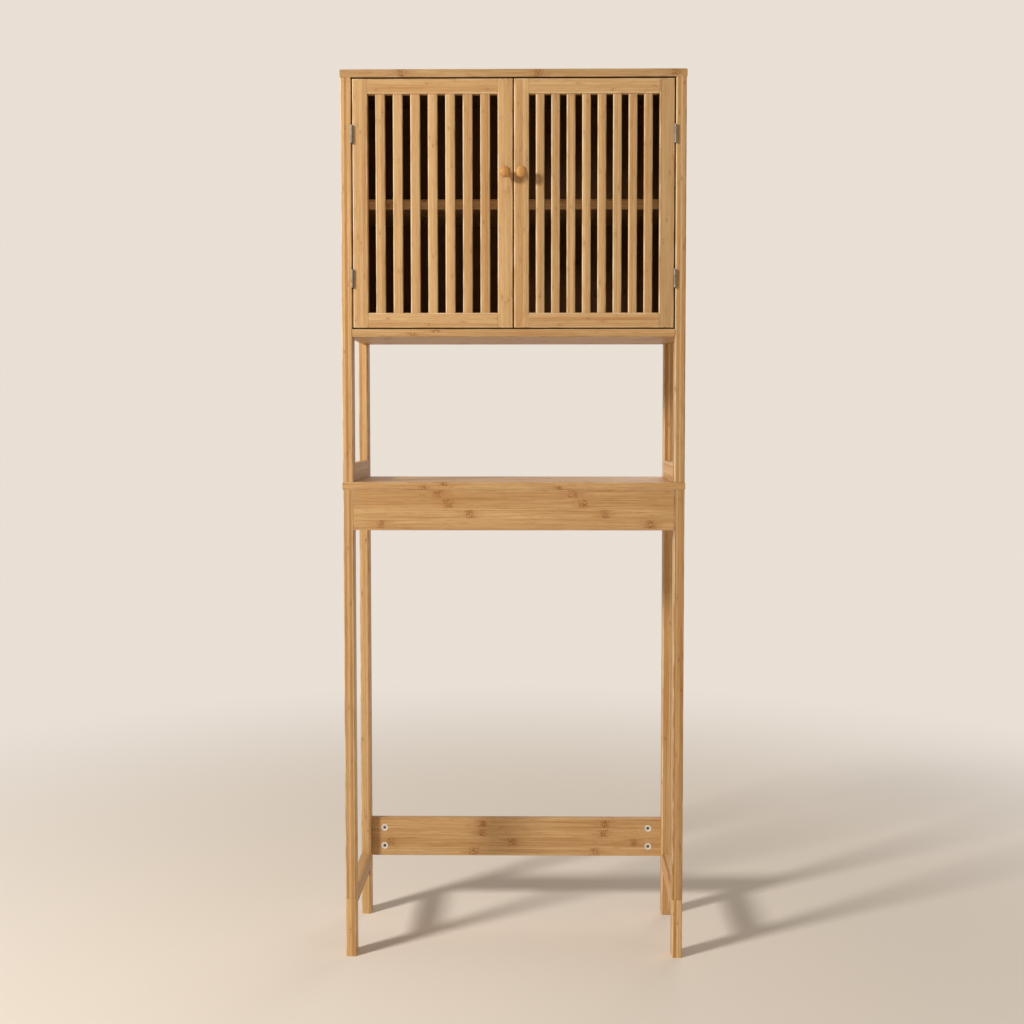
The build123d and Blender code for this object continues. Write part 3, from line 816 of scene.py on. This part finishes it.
def crossHead(work, place, direction, radius, proud):
    # A low domed head with a cross pressed into it
    c = crossLook
    stand = standingOn(place, direction)
    turns, rings = c["turns"], c["rings"]
    arm, half = radius * c["armReach"], radius * c["armHalf"]
    rows = []
    for r in range(rings + 1):
        reach = radius * r / rings
        row = []
        for i in range(turns if r else 1):
            angle = 2 * math.pi * i / turns
            x, y = reach * math.cos(angle), reach * math.sin(angle)
            height = proud * (1 - (reach / radius) ** 3)
            if (abs(x) < arm and abs(y) < half) or (abs(y) < arm and abs(x) < half):
                height -= radius * c["depth"]
            row.append(work.verts.new(stand @ Vector((x, y, height))))
        rows.append(row)
    rows.append(ringOf(work, stand, radius, -radius * c["rimDepth"], turns))
    for low, high in zip(rows, rows[1:]):
        for i in range(turns):
            j = (i + 1) % turns
            if len(low) == 1:
                work.faces.new((low[0], high[i], high[j]))
            else:
                work.faces.new((low[i], high[i], high[j], low[j]))


def hingeLevels():
    low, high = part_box("hinge_pins")
    half = hingeLook["leafHeight"] / 2
    return low.z + half, high.z - half


def newScrewSets():
    # One mesh of screws for each body that carries any
    return {body: bmesh.new() for body in ("cabinet", "left_door", "right_door")}


def finishScrews(sets, ending):
    for body, work in sets.items():
        finishPiece(plainName(body) + ending, work, body, "brightScrew", [], "screw")


for node, body in (
    ("post_hinge_leaves", "cabinet"),
    ("left_door_hinge_leaves", "left_door"),
    ("right_door_hinge_leaves", "right_door"),
    ("hinge_pins", "cabinet"),
):
    work = meshFromSolid(node)
    softenCorners(work, hingeLook["corner"])
    finishPiece(plainName(node), work, body, "hingeSteel", [node], "fitting")

hingeScrews = newScrewSets()
radius, proud = hingeLook["screwRadius"], hingeLook["screwProud"]
for joint in frame["joints"]:
    pinX, pinY = joint["pos_m"][0], joint["pos_m"][1]
    inward = 1 if pinX < 0 else -1
    for level in hingeLevels():
        for step in (-1, 1):
            z = level + step * hingeLook["screwLevel"]
            y = pinY + hingeLook["screwFromPin"]
            for body, way in ((joint["child"], inward), ("cabinet", -inward)):
                place = Vector((pinX + way * hingeLook["faceFromPin"], y, z))
                crossHead(hingeScrews[body], place, Vector((-way, 0, 0)), radius, proud)
finishScrews(hingeScrews, "HingeScrews")
print("Hinges and their screws fitted")


# Cam fittings in the low back rail

camLook = {
    "radius": 0.0072, "rim": 0.0009, "dish": 0.0006, "proud": 0.0003, "depth": 0.0100,
    "socketRadius": 0.0031, "socketDepth": 0.0034, "ease": 0.0002, "turns": 48,
    "fromEnd": 0.028, "spacing": 0.039,
}


def camPlaces():
    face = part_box("back_stretcher")[0].y
    low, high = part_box("cam_fittings")
    level = (low.z + high.z) / 2
    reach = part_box("left_back_leg")[1].x + camLook["fromEnd"]
    half = camLook["spacing"] / 2
    return [Vector((x, face, z)) for x in (reach, -reach) for z in (level - half, level + half)]


def camOutline():
    # Body, raised rim, dished face and socket, from the bottom of the bore
    c = camLook
    radius, rimInside, socket, ease = c["radius"], c["radius"] - c["rim"], c["socketRadius"], c["ease"]
    proud, floor = c["proud"], c["proud"] - c["dish"]
    return [
        (radius + ease, -c["depth"]),
        (radius + ease, -ease),
        (radius, ease / 2),
        (radius - 2 * ease, proud),
        (rimInside - 1.5 * ease, proud),
        (rimInside - 4 * ease, proud - c["dish"] * 0.7),
        (socket + 6 * ease, floor),
        (socket + ease, proud - c["dish"] * 0.8),
        (socket, floor - 2 * ease),
        (socket - ease, -c["socketDepth"]),
        (0.0, -c["socketDepth"] - 1.5 * ease),
    ]


work = bmesh.new()
camCentres = camPlaces()
for place in camCentres:
    turnOutline(work, camOutline(), camLook["turns"], place, Vector((0, -1, 0)))
bmesh.ops.recalc_face_normals(work, faces=work.faces)
cams = finishPiece("camFittings", work, "cabinet", "castZinc", ["cam_fittings"], "cam")
cams.data.materials.append(finishes["hingeSteel"])
for face in cams.data.polygons:  # the sockets take the darker steel finish as painted shade in their recesses
    x, z = face.center.x, face.center.z
    if min(math.hypot(x - place.x, z - place.z) for place in camCentres) < camLook["socketRadius"]:
        face.material_index = 1
print("Cam fittings set")


# Catch, strikes, shelf pins and knob screws

smallPieces = (  # node, body, finish, slot, corner radius
    ("door_catch", "cabinet", "catchPlastic", "catch_plastic", 0.0006),
    ("shelf_pins", "cabinet", "brightScrew", "plated_steel", 0.0003),
    ("left_door_strike", "left_door", "brightScrew", "plated_steel", 0.0002),
    ("right_door_strike", "right_door", "brightScrew", "plated_steel", 0.0002),
    ("left_door_knob_screw", "left_door", "brightScrew", "plated_steel", 0.0003),
    ("right_door_knob_screw", "right_door", "brightScrew", "plated_steel", 0.0003),
)
catchLook = {
    "magnetDepth": 0.0041, "magnetHalf": 0.0061, "magnetBelowTop": 0.0045,
    "magnetFromStrikeEdge": 0.007, "screwFromMiddle": 0.018, "screwFromBack": 0.006,
    "screwBelowTop": 0.003, "screwRadius": 0.0028, "screwProud": 0.0006,
}
strikeScrew = {"radius": 0.0022, "proud": 0.00015}


def markMagnets(catch, catchLow, catchHigh):
    # The magnets are the two small blocks that face the doors
    c = catchLook
    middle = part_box("right_door_strike")[0].x + c["magnetFromStrikeEdge"]
    catch.data.materials.append(finishes["castZinc"])
    for face in catch.data.polygons:
        nearDoor = face.center.y < catchLow.y + c["magnetDepth"]
        inMagnet = abs(abs(face.center.x) - abs(middle)) < c["magnetHalf"]
        if nearDoor and inMagnet and face.center.z < catchHigh.z - c["magnetBelowTop"]:
            face.material_index = 1


catchLow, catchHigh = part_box("door_catch")
for node, body, material, slotName, radius in smallPieces:
    work = meshFromSolid(node)
    softenCorners(work, radius)
    small = finishPiece(plainName(node), work, body, material, [node], "fitting")
    if node == "door_catch":
        markMagnets(small, catchLow, catchHigh)

fixingScrews = newScrewSets()
y, z = catchHigh.y - catchLook["screwFromBack"], catchHigh.z - catchLook["screwBelowTop"]
radius, proud = catchLook["screwRadius"], catchLook["screwProud"]
for way in (-1, 1):
    place = Vector((way * catchLook["screwFromMiddle"], y, z))
    crossHead(fixingScrews["cabinet"], place, Vector((0, 0, -1)), radius, proud)
radius, proud = strikeScrew["radius"], strikeScrew["proud"]
for side in ("left", "right"):
    low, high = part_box(side + "_door_strike")
    place = Vector(((low.x + high.x) / 2, high.y, (low.z + high.z) / 2))
    crossHead(fixingScrews[side + "_door"], place, Vector((0, 1, 0)), radius, proud)
finishScrews(fixingScrews, "FixingScrews")
print("Catch and small fittings dressed")


# Floor, light and camera

stage = {
    "floorColour": (0.860, 0.785, 0.700, 1), "skyColour": (0.815, 0.742, 0.668, 1),
    "floorRoughness": 0.8, "floorSpecular": 0.2, "floorHalf": 9.0, "floorCells": 8,
    "fadeFrom": 0.6, "fadeTo": 2.6,
}
lamps = {
    "key": {
        "place": (-3.3, -2.35, 2.65), "aim": (0.0, 0.0, 0.95),
        "size": 0.75, "power": 184.0, "colour": (1.0, 0.965, 0.91),
    },
    "fill": {
        "place": (3.4, -2.4, 1.5), "aim": (0.0, 0.0, 0.8),
        "size": 3.0, "power": 14.0, "colour": (1.0, 0.93, 0.84),
    },
    "rim": {
        "place": (1.4, 3.4, 2.6), "aim": (0.0, 0.0, 0.9),
        "size": 2.4, "power": 26.0, "colour": (1.0, 0.97, 0.93),
    },
}
ambient = {"colour": (1.0, 0.90, 0.79, 1), "strength": 0.27}


def seenRays(tree):
    # 1 for rays that should find the pale backdrop: from the camera, from metal and from glass
    path = tree.nodes.new("ShaderNodeLightPath")
    seen = calc(tree, "MAXIMUM", path.outputs["Is Camera Ray"], path.outputs["Is Glossy Ray"])
    return calc(tree, "MAXIMUM", seen, path.outputs["Is Transmission Ray"])


def makeFloor():
    # The floor keeps the shadows near the cabinet and fades into the backdrop farther out
    work = bmesh.new()
    cells = stage["floorCells"]
    bmesh.ops.create_grid(work, x_segments=cells, y_segments=cells, size=stage["floorHalf"])
    mesh = bpy.data.meshes.new("floor")
    work.to_mesh(mesh)
    work.free()
    floor = bpy.data.objects.new("floor", mesh)
    scene.collection.objects.link(floor)
    material, tree, shader = newMaterial("paleFloor")
    shader.inputs["Base Color"].default_value = stage["floorColour"]
    shader.inputs["Roughness"].default_value = stage["floorRoughness"]
    shader.inputs["Specular IOR Level"].default_value = stage["floorSpecular"]
    where = tree.nodes.new("ShaderNodeTexCoord").outputs["Object"]
    length = tree.nodes.new("ShaderNodeVectorMath")
    length.operation = "LENGTH"
    tree.links.new(where, length.inputs[0])
    far = stepUp(tree, length.outputs["Value"], stage["fadeFrom"], stage["fadeTo"])
    glow = tree.nodes.new("ShaderNodeEmission")
    glow.inputs["Color"].default_value = stage["skyColour"]
    blend = tree.nodes.new("ShaderNodeMixShader")
    tree.links.new(times(tree, far, seenRays(tree)), blend.inputs[0])
    tree.links.new(shader.outputs[0], blend.inputs[1])
    tree.links.new(glow.outputs[0], blend.inputs[2])
    output = next(node for node in tree.nodes if node.type == "OUTPUT_MATERIAL")
    tree.links.new(blend.outputs[0], output.inputs["Surface"])
    mesh.materials.append(material)


def makeWorld():
    world = bpy.data.worlds.new("studio")
    scene.world = world
    world.use_nodes = True
    tree = world.node_tree
    tree.nodes.clear()
    light = tree.nodes.new("ShaderNodeBackground")
    light.inputs["Color"].default_value = ambient["colour"]
    light.inputs["Strength"].default_value = ambient["strength"]
    sky = tree.nodes.new("ShaderNodeBackground")
    sky.inputs["Color"].default_value = stage["skyColour"]
    blend = tree.nodes.new("ShaderNodeMixShader")
    output = tree.nodes.new("ShaderNodeOutputWorld")
    tree.links.new(seenRays(tree), blend.inputs[0])
    tree.links.new(light.outputs[0], blend.inputs[1])
    tree.links.new(sky.outputs[0], blend.inputs[2])
    tree.links.new(blend.outputs[0], output.inputs["Surface"])


def makeLamp(name):
    values = lamps[name]
    data = bpy.data.lights.new(name, "AREA")
    data.shape = "DISK"
    data.size = values["size"]
    data.energy = values["power"]
    data.color = values["colour"]
    lamp = bpy.data.objects.new(name, data)
    scene.collection.objects.link(lamp)
    lamp.location = values["place"]
    aim = Vector(values["aim"]) - Vector(values["place"])
    lamp.rotation_mode = "QUATERNION"
    lamp.rotation_quaternion = aim.to_track_quat("-Z", "Y")


cameraSetup = {
    "place": (0.0561, -2.5625, 1.0513), "tiltDown": 2.70, "turnLeft": 0.66,
    "focalPixels": 1275.0, "axisPixel": (528.0, 480.0), "picturePixels": 1024.0,
    "sensorWidth": 36.0, "clipStart": 0.05, "clipEnd": 60.0,
}


def makeCamera():
    c = cameraSetup
    data = bpy.data.cameras.new("camera")
    camera = bpy.data.objects.new("camera", data)
    scene.collection.objects.link(camera)
    camera.location = c["place"]
    camera.rotation_euler = (math.radians(90 - c["tiltDown"]), 0, math.radians(c["turnLeft"]))
    pixels = c["picturePixels"]
    data.sensor_width = c["sensorWidth"]
    data.lens = c["sensorWidth"] * c["focalPixels"] / pixels
    data.shift_x = (pixels / 2 - c["axisPixel"][0]) / pixels
    data.shift_y = (c["axisPixel"][1] - pixels / 2) / pixels
    data.clip_start = c["clipStart"]
    data.clip_end = c["clipEnd"]
    scene.camera = camera


makeFloor()
makeWorld()
for lampName in lamps:
    makeLamp(lampName)
makeCamera()
scene.view_settings.view_transform = "Standard"
print("Stage, lights and camera set")
